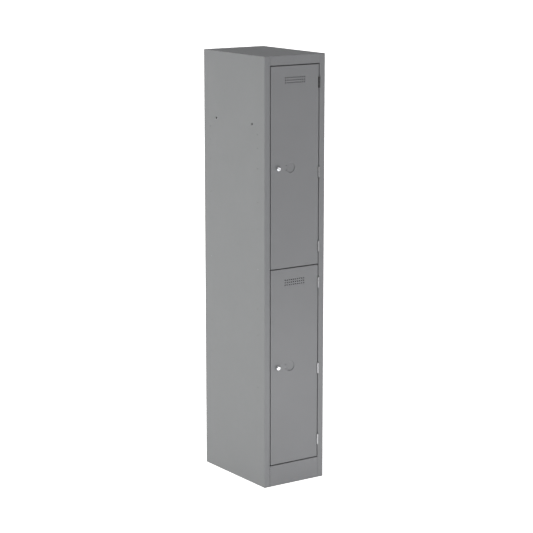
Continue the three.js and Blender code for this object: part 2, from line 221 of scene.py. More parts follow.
class Finish:
    """A material under construction, with one method for every kind of node."""

    def __init__(self, name):
        self.material = bpy.data.materials.new(name)
        self.material.use_nodes = True
        self.tree = self.material.node_tree
        self.shader = self.tree.nodes["Principled BSDF"]

    def set(self, slot, value):
        if isinstance(value, Socket):
            self.tree.links.new(value.link, slot)
        else:
            slot.default_value = value

    def node(self, kind, out=0, **values):
        node = self.tree.nodes.new(kind)
        for key, value in values.items():
            self.set(node.inputs[key.replace("_", " ")], value)
        return Socket(self.tree, node.outputs[out])

    def place(self, stretch=(1, 1, 1)):
        where = self.node("ShaderNodeTexCoord", "Object")
        if stretch == (1, 1, 1):
            return where
        return self.node("ShaderNodeMapping", Vector=where, Scale=stretch)

    def along(self, axis):
        return self.node("ShaderNodeSeparateXYZ", axis, Vector=self.place())

    def noise(self, place, scale, detail=3.0, roughness=0.5):
        """Scale is in waves to the metre, so 1000 makes marks of about a millimetre."""
        return self.node("ShaderNodeTexNoise", Vector=place, Scale=scale, Detail=detail,
                         Roughness=roughness)

    def mix(self, amount, first, second):
        node = self.tree.nodes.new("ShaderNodeMix")
        node.data_type = "RGBA"
        slots = (node.inputs[0], node.inputs[6], node.inputs[7])
        for slot, value in zip(slots, (amount, first, second)):
            self.set(slot, value)
        return Socket(self.tree, node.outputs[2])

    def bump(self, height, distance):
        return self.node("ShaderNodeBump", Height=height, Distance=distance, Strength=1.0)

    def surface(self, **values):
        for key, value in values.items():
            self.set(self.shader.inputs[key.replace("_", " ")], value)
        return self.material


def shade(colour, factor):
    return tuple(channel * factor for channel in colour[:3]) + (1,)


# ------------------------------------------------------- finishes
PAINT_GREY = (0.182, 0.1845, 0.1915, 1)
PAINT_RELIEF = 0.07 * MM
PAINT_GLOSS = 0.42
DRAWN_STEEL = (0.62, 0.625, 0.64, 1)
DRAWN_STRETCH = (1, 1, 0.06)        # drawing lines run up and down
ZINC_GREY = (0.50, 0.52, 0.54, 1)
SCREW_GREY = (0.30, 0.30, 0.31, 1)
STEEL_RELIEF = 0.03 * MM
CHROME_TINT = (0.72, 0.73, 0.75, 1)
CHROME_RELIEF = 0.015 * MM
RUBBER_BLACK = (0.016, 0.016, 0.017, 1)
RUBBER_DUST = (0.05, 0.05, 0.05, 1)
RUBBER_RELIEF = 0.08 * MM
EVEN = (1, 1, 1)
# The oil film on the hinges: its share at the floor and its growth with every metre, then the
# height where it thickens again, how fast it does so and the share that this adds.
FILM_AT_FLOOR = 0.30
FILM_PER_METRE = 0.27
FILM_TOP = 1.45
FILM_TOP_RISE = 5.0
FILM_TOP_SHARE = 0.3


def powder_coat():
    """Mid-grey powder coat: fine orange peel, faint clouding, rubbed and dusty in places."""
    f = Finish("powder_coat")
    where = f.place()
    peel = f.noise(where, 900, 2.0)
    grain = f.noise(where, 3200, 2.0)
    cloud = f.noise(where, 5, 4.0, 0.55)
    rub = f.noise(where, 38, 5.0, 0.62)
    fleck = (f.noise(where, 2100, 1.0) - 0.62) * 5.0
    clouded = ((cloud - 0.3) * 1.6).clamp()
    tone = f.mix(clouded, shade(PAINT_GREY, 0.965), shade(PAINT_GREY, 1.035))
    tone = f.mix(fleck.clamp() * 0.35, tone, shade(PAINT_GREY, 0.80))
    rough = 0.42 + (rub - 0.5) * 0.16 + (cloud - 0.5) * 0.08
    relief = peel * 0.8 + grain * 0.2
    return f.surface(Base_Color=tone, Roughness=rough, Metallic=0.0,
                     Specular_IOR_Level=PAINT_GLOSS, Normal=f.bump(relief, PAINT_RELIEF))


def bright_steel(name, colour, roughness, stretch=EVEN, oiled=False):
    """Drawn or plated steel: fine lines along the drawing direction, small stains and pits.

    An oiled piece has a film that darkens it with height above the floor.
    """
    f = Finish(name)
    lines = f.noise(f.place(stretch), 420, 3.0, 0.7)
    stain = f.noise(f.place(), 70, 4.0, 0.6)
    pits = (f.noise(f.place(), 1500, 2.0) - 0.60) * 4.0
    stained = ((stain - 0.35) * 1.8).clamp()
    tone = f.mix(stained, shade(colour, 0.82), shade(colour, 1.06))
    tone = f.mix(pits.clamp() * 0.5, tone, shade(colour, 0.6))
    if oiled:
        height = f.along("Z")
        top = ((height - FILM_TOP) * FILM_TOP_RISE).clamp()
        film = (FILM_AT_FLOOR + height * FILM_PER_METRE + top * FILM_TOP_SHARE).clamp()
        tone = f.mix(film, tone, shade(colour, 0.10))
    rough = roughness + (stain - 0.5) * 0.18 + (lines - 0.5) * 0.12
    return f.surface(Base_Color=tone, Roughness=rough.clamp(), Metallic=1.0,
                     Normal=f.bump(lines, STEEL_RELIEF))


def chrome_plate():
    """Polished chrome with faint swirl marks and a little smudging."""
    f = Finish("chrome_plate")
    smudge = f.noise(f.place(), 160, 4.0, 0.6)
    swirl = f.noise(f.place((1, 1, 6)), 900, 3.0, 0.7)
    smudged = ((smudge - 0.4) * 2.0).clamp()
    tone = f.mix(smudged, shade(CHROME_TINT, 0.94), shade(CHROME_TINT, 1.03))
    rough = 0.11 + (smudge - 0.4) * 0.16 + (swirl - 0.5) * 0.05
    return f.surface(Base_Color=tone, Roughness=rough.clamp(), Metallic=1.0,
                     Normal=f.bump(swirl, CHROME_RELIEF))


def black_rubber():
    """Moulded rubber with a matt skin and a little dust."""
    f = Finish("buffer_rubber")
    skin = f.noise(f.place(), 1300, 3.0)
    dust = f.noise(f.place(), 240, 4.0, 0.6)
    tone = f.mix(((dust - 0.5) * 2.0).clamp(), RUBBER_BLACK, RUBBER_DUST)
    return f.surface(Base_Color=tone, Roughness=0.72 + (skin - 0.5) * 0.3, Metallic=0.0,
                     Normal=f.bump(skin, RUBBER_RELIEF))


PAINT = powder_coat()
HINGE_STEEL = bright_steel("drawn_steel", DRAWN_STEEL, 0.36, DRAWN_STRETCH, oiled=True)
ZINC = bright_steel("zinc_plate", ZINC_GREY, 0.38)
SCREW_STEEL = bright_steel("screw_steel", SCREW_GREY, 0.42)
CHROME = chrome_plate()
RUBBER = black_rubber()


# ------------------------------------------------------- mesh helpers
def mesh_object(name, verts, faces):
    mesh = bpy.data.meshes.new(name)
    mesh.from_pydata([tuple(v) for v in verts], [], faces)
    obj = bpy.data.objects.new(name, mesh)
    bpy.context.scene.collection.objects.link(obj)
    tidy_normals(mesh)
    return obj


def tidy_normals(mesh, weld=0.002 * MM):
    bm = bmesh.new()
    bm.from_mesh(mesh)
    bmesh.ops.remove_doubles(bm, verts=bm.verts, dist=weld)
    bmesh.ops.recalc_face_normals(bm, faces=bm.faces)
    bm.to_mesh(mesh)
    bm.free()


def applied(obj):
    """The object with its modifiers worked into a plain mesh."""
    bpy.context.view_layer.update()
    depsgraph = bpy.context.evaluated_depsgraph_get()
    made = bpy.data.meshes.new_from_object(obj.evaluated_get(depsgraph))
    old = obj.data
    obj.modifiers.clear()
    obj.data = made
    bpy.data.meshes.remove(old)
    return obj


def round_edges(obj, width=EDGE, segments=2, angle=40):
    bevel = obj.modifiers.new("edges", "BEVEL")
    bevel.width = width
    bevel.segments = segments
    bevel.limit_method = "ANGLE"
    bevel.angle_limit = math.radians(angle)
    bevel.harden_normals = False
    return applied(obj)


def boolean(obj, other, operation="DIFFERENCE"):
    tool = obj.modifiers.new("cut", "BOOLEAN")
    tool.operation = operation
    tool.solver = "EXACT"
    tool.object = other
    applied(obj)
    bpy.data.objects.remove(other)
    return obj


SMOOTH_ANGLE = 32
FLAT_FACE_WEIGHT = 80


def finished(obj, body, finish, node):
    """Smooth shading with crisp folds, the finish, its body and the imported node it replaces."""
    obj.data.materials.clear()
    obj.data.materials.append(finish)
    for face in obj.data.polygons:
        face.use_smooth = True
    obj.data.set_sharp_from_angle(angle=math.radians(SMOOTH_ANGLE))
    weighted = obj.modifiers.new("flat_faces", "WEIGHTED_NORMAL")
    weighted.weight = FLAT_FACE_WEIGHT
    weighted.keep_sharp = True
    applied(obj)
    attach(obj, body)
    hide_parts(node)


def rounded_path(corners, radius):
    """Points along a line of square folds, with every inner corner rounded."""
    points = []
    for i, corner in enumerate(corners):
        here = Vector(corner)
        if i in (0, len(corners) - 1):
            points.append(here)
            continue
        back = (Vector(corners[i - 1]) - here).normalized()
        onward = (Vector(corners[i + 1]) - here).normalized()
        centre = here + (back + onward) * radius
        for step in range(BEND_STEPS + 1):
            turn = step / BEND_STEPS * math.pi / 2
            points.append(centre - onward * radius * math.cos(turn)
                          - back * radius * math.sin(turn))
    return points


def right_of(vector):
    return Vector((vector.y, -vector.x))


def folded_strip(name, corners, span, axis):
    """A strip folded along outer corners, the metal on the right, drawn out over a span.

    Axis "z" takes the corners as (x, y); axis "x" takes them as (y, z).
    """
    middle = []
    for i, corner in enumerate(corners):
        here = Vector(corner)
        shift = Vector((0, 0))
        if i > 0:
            shift += right_of((here - Vector(corners[i - 1])).normalized())
        if i < len(corners) - 1:
            shift += right_of((Vector(corners[i + 1]) - here).normalized())
        middle.append(here + shift * SHEET / 2)
    path = rounded_path(middle, BEND + SHEET / 2)
    count = len(path)
    outline = []
    for side in (-1, 1):
        row = []
        for i, point in enumerate(path):
            along = path[min(i + 1, count - 1)] - path[max(i - 1, 0)]
            row.append(point + right_of(along.normalized()) * side * SHEET / 2)
        outline.append(row)
    verts = []
    for end in span:
        for row in outline:
            for u, v in row:
                verts.append((u, v, end) if axis == "z" else (end, u, v))

    def at(end, row, i):
        return (end * 2 + row) * count + i

    faces = []
    for i in range(count - 1):
        for row in (0, 1):
            faces.append((at(0, row, i), at(0, row, i + 1), at(1, row, i + 1), at(1, row, i)))
        for end in (0, 1):
            faces.append((at(end, 0, i), at(end, 0, i + 1), at(end, 1, i + 1), at(end, 1, i)))
    for i in (0, count - 1):
        faces.append((at(0, 0, i), at(0, 1, i), at(1, 1, i), at(1, 0, i)))
    return mesh_object(name, verts, faces)


def block(name, low, high):
    xs, ys, zs = zip(low, high)
    verts = [(x, y, z) for x in xs for y in ys for z in zs]
    faces = [(0, 1, 3, 2), (4, 6, 7, 5), (0, 4, 5, 1), (2, 3, 7, 6), (0, 2, 6, 4), (1, 5, 7, 3)]
    return mesh_object(name, verts, faces)


AXES = {
    "x": Matrix(((0, 0, 1), (1, 0, 0), (0, 1, 0))),
    "y": Matrix(((0, 1, 0), (0, 0, 1), (1, 0, 0))),
    "z": Matrix.Identity(3),
}


def skin(rings, sides):
    """Faces between neighbouring rings of vertex numbers, with doubled corners left out."""
    faces = []
    for low, high in rings:
        for k in range(sides):
            n = (k + 1) % sides
            corner = [low[k], low[n], high[n], high[k]]
            corner = [v for i, v in enumerate(corner) if v not in corner[:i]]
            if len(corner) > 2:
                faces.append(tuple(corner))
    return faces


def turned(name, outline, place, axis="y", sides=48):
    """A closed turned shape from (radius, distance along the axis) points.

    An outline that starts away from the axis runs all the way round, as a tube's does.
    """
    verts = []
    rings = []
    for radius, along in outline:
        if radius <= 0:
            rings.append([len(verts)] * sides)
            verts.append(Vector((0, 0, along)))
            continue
        rings.append(list(range(len(verts), len(verts) + sides)))
        for k in range(sides):
            angle = 2 * math.pi * k / sides
            verts.append(Vector((radius * math.cos(angle), radius * math.sin(angle), along)))
    tube = outline[0][0] > 0
    pairs = zip(rings, rings[1:] + rings[:1]) if tube else zip(rings, rings[1:])
    turn = AXES[axis]
    return mesh_object(name, [turn @ v + Vector(place) for v in verts], skin(pairs, sides))


def rod(name, radius, start, end, place, sides=48):
    """A plain round bar along Y."""
    outline = [(0, start), (radius, start), (radius, end), (0, end)]
    return turned(name, outline, place, "y", sides)


def fillet(outline, radius, steps=3):
    """The outline with each inner point replaced by a short rounded corner."""
    points = [Vector(p) for p in outline]
    made = [points[0]]
    for before, here, after in zip(points, points[1:], points[2:]):
        a = before - here
        b = after - here
        reach = min(radius, a.length * 0.45, b.length * 0.45)
        start = here + a.normalized() * reach
        end = here + b.normalized() * reach
        for step in range(steps + 1):
            t = step / steps
            made.append(start * (1 - t) ** 2 + here * 2 * t * (1 - t) + end * t ** 2)
    return [tuple(p) for p in made + [points[-1]]]


def box_and_centre(node):
    low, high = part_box(node)
    return low, high, (low + high) / 2


# ------------------------------------------------------- holes and marks, by Geometry Nodes
def node_tree(name, inputs):
    """An empty Geometry Nodes tree with named inputs, and a way to add nodes to it."""
    tree = bpy.data.node_groups.new(name, "GeometryNodeTree")
    for title, kind in inputs.items():
        tree.interface.new_socket(title, in_out="INPUT", socket_type="NodeSocket" + kind)
    tree.interface.new_socket("Result", in_out="OUTPUT", socket_type="NodeSocketGeometry")

    def node(kind, settings=None, **links):
        made = tree.nodes.new(kind)
        for key, value in (settings or {}).items():
            setattr(made, key, value)
        for key, value in links.items():
            slot = made.inputs[key.replace("_", " ")]
            if isinstance(value, bpy.types.NodeSocket):
                tree.links.new(value, slot)
            else:
                slot.default_value = value
        return made

    return tree, tree.nodes.new("NodeGroupInput").outputs, node


def end_tree(tree, given, node, tools):
    """Every tree cuts its tools out of the sheet and ends in Realize Instances, Set Material."""
    tools = node("GeometryNodeRealizeInstances", Geometry=tools)
    cut = node("GeometryNodeMeshBoolean", {"operation": "DIFFERENCE", "solver": "EXACT"})
    tree.links.new(given["Sheet"], cut.inputs["Mesh 1"])
    tree.links.new(tools.outputs["Geometry"], cut.inputs["Mesh 2"])
    real = node("GeometryNodeRealizeInstances", Geometry=cut.outputs["Mesh"])
    painted = node("GeometryNodeSetMaterial", Geometry=real.outputs["Geometry"],
                   Material=given["Finish"])
    result = tree.nodes.new("NodeGroupOutput").inputs["Result"]
    tree.links.new(painted.outputs["Geometry"], result)
    return tree


def punch_tree():
    """Punches a grid of round holes through a sheet."""
    tree, given, node = node_tree("punched_grid", {
        "Sheet": "Geometry", "Columns": "Int", "Rows": "Int", "Width": "Float",
        "Height": "Float", "Hole radius": "Float", "Depth": "Float", "Centre": "Vector",
        "Turn": "Vector", "Finish": "Material",
    })
    grid = node("GeometryNodeMeshGrid", Size_X=given["Width"], Size_Y=given["Height"],
                Vertices_X=given["Columns"], Vertices_Y=given["Rows"])
    tool = node("GeometryNodeMeshCylinder", {"fill_type": "NGON"}, Vertices=HOLE_SIDES,
                Radius=given["Hole radius"], Depth=given["Depth"])
    spread = node("GeometryNodeInstanceOnPoints", Points=grid.outputs["Mesh"],
                  Instance=tool.outputs["Mesh"])
    placed = node("GeometryNodeTransform", Geometry=spread.outputs["Instances"],
                  Translation=given["Centre"], Rotation=given["Turn"])
    return end_tree(tree, given, node, placed.outputs["Geometry"])


def spot_weld_tree():
    """Presses a column of shallow round weld marks into a sheet."""
    tree, given, node = node_tree("weld_marks", {
        "Sheet": "Geometry", "Count": "Int", "Start": "Vector", "Step": "Vector",
        "Mark radius": "Float", "Depth": "Float", "Finish": "Material",
    })
    line = node("GeometryNodeMeshLine", {"mode": "OFFSET"}, Count=given["Count"],
                Start_Location=given["Start"], Offset=given["Step"])
    mark = node("GeometryNodeMeshUVSphere", Segments=16, Rings=8, Radius=given["Mark radius"])
    flat = node("ShaderNodeCombineXYZ", X=1.0, Y=given["Depth"], Z=1.0)
    dimple = node("GeometryNodeTransform", Geometry=mark.outputs["Mesh"],
                  Scale=flat.outputs["Vector"])
    spread = node("GeometryNodeInstanceOnPoints", Points=line.outputs["Mesh"],
                  Instance=dimple.outputs["Geometry"])
    return end_tree(tree, given, node, spread.outputs["Instances"])


def run_tree(obj, tree, **values):
    """Gives the tree its named inputs and works the result into a plain mesh."""
    modifier = obj.modifiers.new("tree", "NODES")
    modifier.node_group = tree
    for item in tree.interface.items_tree:
        key = item.name.replace(" ", "_")
        if item.in_out == "INPUT" and key in values:
            modifier[item.identifier] = values[key]
    applied(obj)


PUNCH = punch_tree()
SPOT_WELDS = spot_weld_tree()
ALONG_Y = (math.pi / 2, 0, 0)
ALONG_X = (0, math.pi / 2, 0)


def punch(obj, centre, turn, radius, columns=1, rows=1, pitch=(0, 0)):
    """The grid lies in XY before it is turned, and its holes run along Z."""
    run_tree(obj, PUNCH, Columns=columns, Rows=rows, Width=pitch[0] * (columns - 1),
             Height=pitch[1] * (rows - 1), Hole_radius=radius, Depth=HOLE_DEPTH,
             Centre=tuple(centre), Turn=turn, Finish=PAINT)


def punch_pair(obj, x, ys, z, radius):
    """Two holes through a wall that faces sideways, one behind the other."""
    punch(obj, (x, sum(ys) / 2, z), ALONG_X, radius, 1, 2, (0, ys[1] - ys[0]))


# ------------------------------------------------------- the carcass
def seam_heights():
    """Where a shelf can be fixed when the column is split into two to six lockers."""
    low = PLINTH[1].z - STOP_OVERLAP + SEAM_GAP / 2
    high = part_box("upper_door_pan")[1].z + SEAM_GAP / 2
    shares = sorted({i / count for count in PUNCH_TIERS for i in range(1, count)})
    return [low + share * (high - low) for share in shares]


def side_blank(name, mirrored):
    """A side panel folded with its front post, door stop and rear flange, then punched."""
    def across(x):
        return RIGHT - x if mirrored else LEFT + x

    rear = BACK_SHEET[0].y - FIT
    corners = [
        (across(POST + STOP_LIP), FRONT + STOP_DEPTH),
        (across(POST), FRONT + STOP_DEPTH),
        (across(POST), FRONT),
        (across(0), FRONT),
        (across(0), rear),
        (across(REAR_FLANGE), rear),
    ]
    panel = folded_strip(name, corners[::-1] if mirrored else corners, (0, SIDE[1].z), "z")
    round_edges(panel)
    xs = sorted((across(SHEET / 2), across(FOOT_FLANGE)))
    foot = block("foot", (xs[0], FRONT + STOP_DEPTH + PAST_FOLD, 0),
                 (xs[1], rear - 2 * SHEET, SHEET))
    boolean(panel, foot, "UNION")
    wall = across(SHEET / 2)
    for z in seam_heights():
        punch_pair(panel, wall, PUNCH_COLUMNS, z, PUNCH_RADIUS)
    punch_pair(panel, wall, JOIN_COLUMNS, TOP - JOIN_DROP, JOIN_RADIUS)
    return panel


def hinge_notch(tier, place):
    """The space that a hinge's knuckles need in the door edge and in the post."""
    low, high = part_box(f"{tier}_hinge_{place}_pin")
    x = (low.x + high.x) / 2
    return block("notch", (x - KNUCKLE_NOTCH, FRONT - KNUCKLE_NOTCH, low.z - SHEET),
                 (x + KNUCKLE_NOTCH, FRONT + KNUCKLE_NOTCH, high.z + SHEET))


def build_sides():
    left = side_blank("side_left", False)
    for tier in TIERS:
        for end in ("bottom", "top"):
            centre = box_and_centre(f"{tier}_buffer_{end}")[2]
            punch(left, (centre.x, FRONT + STOP_DEPTH, centre.z), ALONG_Y, BUFFER_HOLE_RADIUS)
    finished(left, "root", PAINT, "left_side_panel")
    right = side_blank("side_right", True)
    for tier in TIERS:
        for place in HINGES:
            boolean(right, hinge_notch(tier, place))
    finished(right, "root", PAINT, "right_side_panel")


def between_posts():
    return (LEFT + POST + FIT, RIGHT - POST - FIT)


def clear_corners(panel):
    """Room for the ends of the posts' door stops."""
    reach = POST + STOP_LIP + FIT
    for start, end in ((LEFT - SHEET, LEFT + reach), (RIGHT - reach, RIGHT + SHEET)):
        boolean(panel, block("corner", (start, FRONT + STOP_DEPTH - FIT, -SHEET),
                             (end, FRONT + STOP_DEPTH + PAST_FOLD, TOP - SHEET)))


def build_top():
    header = LID[0].z + STOP_OVERLAP
    corners = [
        (FRONT + STOP_DEPTH, LID[0].z),
        (FRONT + STOP_DEPTH, header),
        (FRONT, header),
        (FRONT, TOP),
        (BACK, TOP),
    ]
    top = folded_strip("top_lid", corners, (LEFT, RIGHT), "x")
    round_edges(top)
    inner = between_posts()
    for start, end in ((LEFT - SHEET, inner[0]), (inner[1], RIGHT + SHEET)):
        boolean(top, block("post", (start, FRONT - SHEET, header - 10 * SHEET),
                           (end, FRONT + STOP_DEPTH + 2 * SHEET, TOP - SHEET)))
    clear_corners(top)
    for x in (LEFT + SHEET + FIT, RIGHT - 2 * SHEET - FIT):
        side = block("flange", (x, FRONT + STOP_DEPTH + PAST_FOLD, TOP - TOP_FLANGE),
                     (x + SHEET, BACK - REAR_FLANGE - 3 * SHEET, TOP - SHEET / 2))
        boolean(top, side, "UNION")
    finished(top, "root", PAINT, "top_panel")


def build_plinth():
    height = PLINTH[1].z - STOP_OVERLAP
    corners = [
        (FRONT + PLINTH_FOOT, 0),
        (FRONT, 0),
        (FRONT, height),
        (FRONT + STOP_DEPTH, height),
        (FRONT + STOP_DEPTH, PLINTH[1].z),
    ]
    plinth = folded_strip("plinth_front", corners, between_posts(), "x")
    round_edges(plinth)
    clear_corners(plinth)
    finished(plinth, "root", PAINT, "plinth_panel")


def build_shelves():
    """Shallow trays with round folds, open below; the middle one is riveted to the sides."""
    inset = Vector((SHEET, SHEET, 0))
    thick = Vector((0, 0, SHEET))
    for node in ("bottom_shelf", "middle_shelf"):
        low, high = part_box(node)
        deep = low - Vector((0, 0, 2 * (BEND + SHEET)))
        shelf = block(node + "_tray", deep, high)
        round_edges(shelf, BEND + SHEET, BEND_STEPS)
        hollow = block("hollow", deep + inset - thick, high - inset - thick)
        round_edges(hollow, BEND, BEND_STEPS)
        boolean(shelf, hollow)
        below = block("trim", low - Vector((SHEET, SHEET, 10 * SHEET)),
                      Vector((high.x + SHEET, high.y + SHEET, low.z)))
        boolean(shelf, below)
        round_edges(shelf)
        if node == "middle_shelf":
            for x in (low.x, high.x):
                punch_pair(shelf, x, PUNCH_COLUMNS, (low.z + high.z) / 2, RIVET_HOLE_RADIUS)
        finished(shelf, "root", PAINT, node)


def build_back():
    low, high = BACK_SHEET
    back = round_edges(block("back_sheet", low, high))
    step = (high.z - low.z - 2 * WELD_INSET) / (WELD_COUNT - 1)
    for x in (low.x + REAR_FLANGE / 2, high.x - REAR_FLANGE / 2):
        run_tree(back, SPOT_WELDS, Count=WELD_COUNT, Start=(x, high.y, low.z + WELD_INSET),
                 Step=(0, 0, step), Mark_radius=WELD_RADIUS, Depth=WELD_FLATNESS, Finish=PAINT)
    finished(back, "root", PAINT, "back_panel")


# ------------------------------------------------------- the doors
def dish_shape(x, z, front, back):
    """The hollow of the round pressed dish; front and back say where its mouth starts and ends."""
    side = []
    for step in range(DISH_STEPS + 1):
        t = step / DISH_STEPS
        ease = t * t * (3 - 2 * t)
        side.append((DISH_RADIUS - DISH_SLOPE * t, back + DISH_DEPTH * ease))
    outline = [(0, front), (DISH_RADIUS, front)] + side + [(0, back + DISH_DEPTH)]
    return turned("dish", outline, (x, FRONT, z), "y", DISH_SIDES)


def build_door(tier):
    body = f"{tier}_door"
    low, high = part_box(f"{tier}_door_pan")
    low = Vector((low.x, FRONT, low.z))
    pan = round_edges(block(f"{tier}_door", low, high), BEND + SHEET, BEND_STEPS)
    inset = Vector((SHEET,) * 3)
    boolean(pan, round_edges(block("hollow", low + inset, high - inset), BEND, BEND_STEPS))
    lip = Vector((DOOR_LIP, 0, DOOR_LIP))
    boolean(pan, block("mouth", low + lip + Vector((0, 2 * SHEET, 0)),
                       high - lip + Vector((0, SHEET, 0))))
    round_edges(pan, angle=50)
    lock = box_and_centre(f"{tier}_lock_body")[2]
    dish_x = lock.x + DISH_FROM_LOCK
    boolean(pan, dish_shape(dish_x, lock.z, SHEET / 2, SHEET), "UNION")
    boolean(pan, dish_shape(dish_x, lock.z, -SHEET / 2, 0))
    punch(pan, (lock.x, FRONT, lock.z), ALONG_Y, LOCK_HOLE_RADIUS)
    punch(pan, (lock.x + DISH_HOLE_FROM_LOCK, FRONT, lock.z), ALONG_Y, DISH_HOLE_RADIUS,
          1, 2, (0, DISH_HOLE_SPACING))
    vents = ((low.x + high.x) / 2, FRONT,
             high.z - VENT_DROP - VENT_PITCH * (VENT_ROWS - 1) / 2)
    punch(pan, vents, ALONG_Y, VENT_RADIUS, VENT_COLUMNS, VENT_ROWS, (VENT_PITCH, VENT_PITCH))
    for place in HINGES:
        boolean(pan, hinge_notch(tier, place))
    finished(pan, body, PAINT, f"{tier}_door_pan")

    low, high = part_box(f"{tier}_door_stiffener")
    corners = [
        (high.x, low.y),
        (high.x - STIFFENER_FOOT, low.y),
        (high.x - STIFFENER_FOOT, high.y - SHEET),
        (low.x + STIFFENER_FOOT, high.y - SHEET),
        (low.x + STIFFENER_FOOT, low.y),
        (low.x, low.y),
    ]
    brace = round_edges(folded_strip(f"{tier}_door_brace", corners, (low.z, high.z), "z"))
    finished(brace, body, PAINT, f"{tier}_door_stiffener")


# ------------------------------------------------------- hinges
LEAF_NEAR = 0.25 * MM      # a leaf's two faces, measured sideways from the pin's axis
LEAF_FAR = 1.45 * MM
LEAF_EDGE = 0.3 * MM
TAB_START = 0.6            # where the tab leaves the knuckle, as a share of its radius
TAB_INSET = 0.2 * MM
KNUCKLE_BORE = 2.3 * MM
KNUCKLE_EDGE = 0.5 * MM
PIN_RADIUS = 2.1 * MM
PIN_HEAD_RADIUS = 3 * MM
PIN_HEAD_HEIGHT = 1.0 * MM
PIN_HEAD_ANGLES = (0, 0.5, 1.0, 1.3)


def build_leaf(node, body, axis, sideways, share):
    """One leaf; sideways is 1 on the frame and -1 on the door, share picks its knuckles."""
    low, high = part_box(node)
    outer = (high.z - low.z) / 2
    third = outer / 3
    radius = axis.y - low.y
    spans = share(outer, third)
    start, end = sorted((axis.x + sideways * LEAF_NEAR, axis.x + sideways * LEAF_FAR))
    leaf = block(f"{node}_plate", (start, axis.y + KNUCKLE_NOTCH, axis.z - outer),
                 (end, high.y, axis.z + outer))
    round_edges(leaf, LEAF_EDGE)
    for bottom, top in spans:
        tab = block("tab", (start, axis.y + radius * TAB_START, axis.z + bottom + TAB_INSET),
                    (end, axis.y + KNUCKLE_NOTCH + SHEET, axis.z + top - TAB_INSET))
        boolean(leaf, tab, "UNION")
        roll = fillet([(KNUCKLE_BORE, bottom), (radius, bottom), (radius, top),
                       (KNUCKLE_BORE, top)], KNUCKLE_EDGE)
        boolean(leaf, turned("knuckle", roll, axis, "z"), "UNION")
    finished(leaf, body, HINGE_STEEL, node)


def build_hinge(tier, place):
    stem = f"{tier}_hinge_{place}"
    low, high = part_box(stem + "_pin")
    axis = Vector(((low.x + high.x) / 2, FRONT, (low.z + high.z) / 2))
    build_leaf(stem + "_frame_leaf", "root", axis, 1,
               lambda outer, third: ((-outer, -third), (third, outer)))
    build_leaf(stem + "_door_leaf", f"{tier}_door", axis, -1,
               lambda outer, third: ((-third + FIT, third - FIT),))
    half = (high.z - low.z) / 2
    neck = half - PIN_HEAD_HEIGHT
    dome = [(PIN_HEAD_RADIUS * math.cos(a), neck + PIN_HEAD_HEIGHT * math.sin(a))
            for a in PIN_HEAD_ANGLES]
    foot = [(radius, -z) for radius, z in dome[::-1]]
    outline = [(0, -half)] + foot + [(PIN_RADIUS, -neck), (PIN_RADIUS, neck)] + dome + [(0, half)]
    pin = turned(stem + "_axle", outline, axis, "z", 32)
    finished(pin, "root", HINGE_STEEL, stem + "_pin")


# ------------------------------------------------------- locks
LOCK_HOLE_RADIUS = 8.3 * MM
BARREL_RADIUS = 8 * MM
LOCK_BORE = 6 * MM
LOCK_LIP = 0.3 * MM
LOCK_DOME = 3.2 * MM
CROWN_STEPS = 10
NUT_CORNER = 12.7193 * MM  # 22 mm across the flats
NUT_EDGE = 0.6 * MM
PLUG_RADIUS = 5.7 * MM
PLUG_EDGE = 0.3 * MM
PLUG_GROOVE = (4.2 * MM, 4.4 * MM, 4.7 * MM)
PLUG_GROOVE_DEPTH = 0.25 * MM
TAIL_HALF = 3.5 * MM       # the square that carries the cam
CAM_SQUARE_HALF = 3.8 * MM
KEYWAY_HALF = 0.8 * MM
KEYWAY_REACH = 3.2 * MM
KEYWAY_DEPTH = 8 * MM
WARD_HALF = 1.3 * MM
WARD_BELOW = 0.6 * MM
WARD_ABOVE = 0.9 * MM
THREAD_RADIUS = 2.3 * MM
CAM_HUB = 7 * MM
CAM_TAPER = (2 * MM, 9 * MM)
CAM_EDGE = 0.35 * MM
SCREW_RADIUS = 2.0 * MM
SCREW_TIP = 1.6 * MM
SCREW_TIP_HEIGHT = 0.5 * MM
SCREW_HEAD = 5.0 * MM
SCREW_CROWN = 3.4 * MM
SCREW_HEAD_HEIGHT = 1.4 * MM
SCREW_EDGE = 0.5 * MM
SLOT_HALF = (3.0 * MM, 0.5 * MM)
SLOT_DEPTH = 1.1 * MM


def build_lock_body(tier, at):
    low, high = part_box(f"{tier}_lock_body")
    radius = (high.x - low.x) / 2
    angles = [k * math.pi / (2 * CROWN_STEPS) for k in range(1, CROWN_STEPS + 1)]
    crown = [(LOCK_BORE + (radius - LOCK_BORE) * math.sin(a),
              low.y + LOCK_DOME * (1 - math.cos(a))) for a in angles]
    bore = [(LOCK_BORE, high.y), (LOCK_BORE, low.y + LOCK_LIP), (LOCK_BORE + LOCK_LIP, low.y)]
    barrel = [(radius, FRONT - FIT), (BARREL_RADIUS, FRONT - FIT), (BARREL_RADIUS, high.y)]
    body = turned(f"{tier}_lock_head", bore + crown + barrel, at, "y", 64)
    finished(body, f"{tier}_door", CHROME, f"{tier}_lock_body")


def build_lock_nut(tier, at):
    low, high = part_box(f"{tier}_lock_nut")
    angles = [math.pi / 6 + k * math.pi / 3 for k in range(6)]
    corners = [(NUT_CORNER * math.cos(a), NUT_CORNER * math.sin(a)) for a in angles]
    verts = [(at[0] + u, y, at[2] + v) for y in (low.y, high.y) for u, v in corners]
    faces = [tuple(range(6)), tuple(range(11, 5, -1))]
    faces += [(k, k + 6, (k + 1) % 6 + 6, (k + 1) % 6) for k in range(6)]
    nut = round_edges(mesh_object(f"{tier}_lock_ring_nut", verts, faces), NUT_EDGE, 3)
    boolean(nut, rod("bore", LOCK_HOLE_RADIUS, low.y - SHEET, high.y + SHEET, at))
    finished(nut, f"{tier}_door", ZINC, f"{tier}_lock_nut")


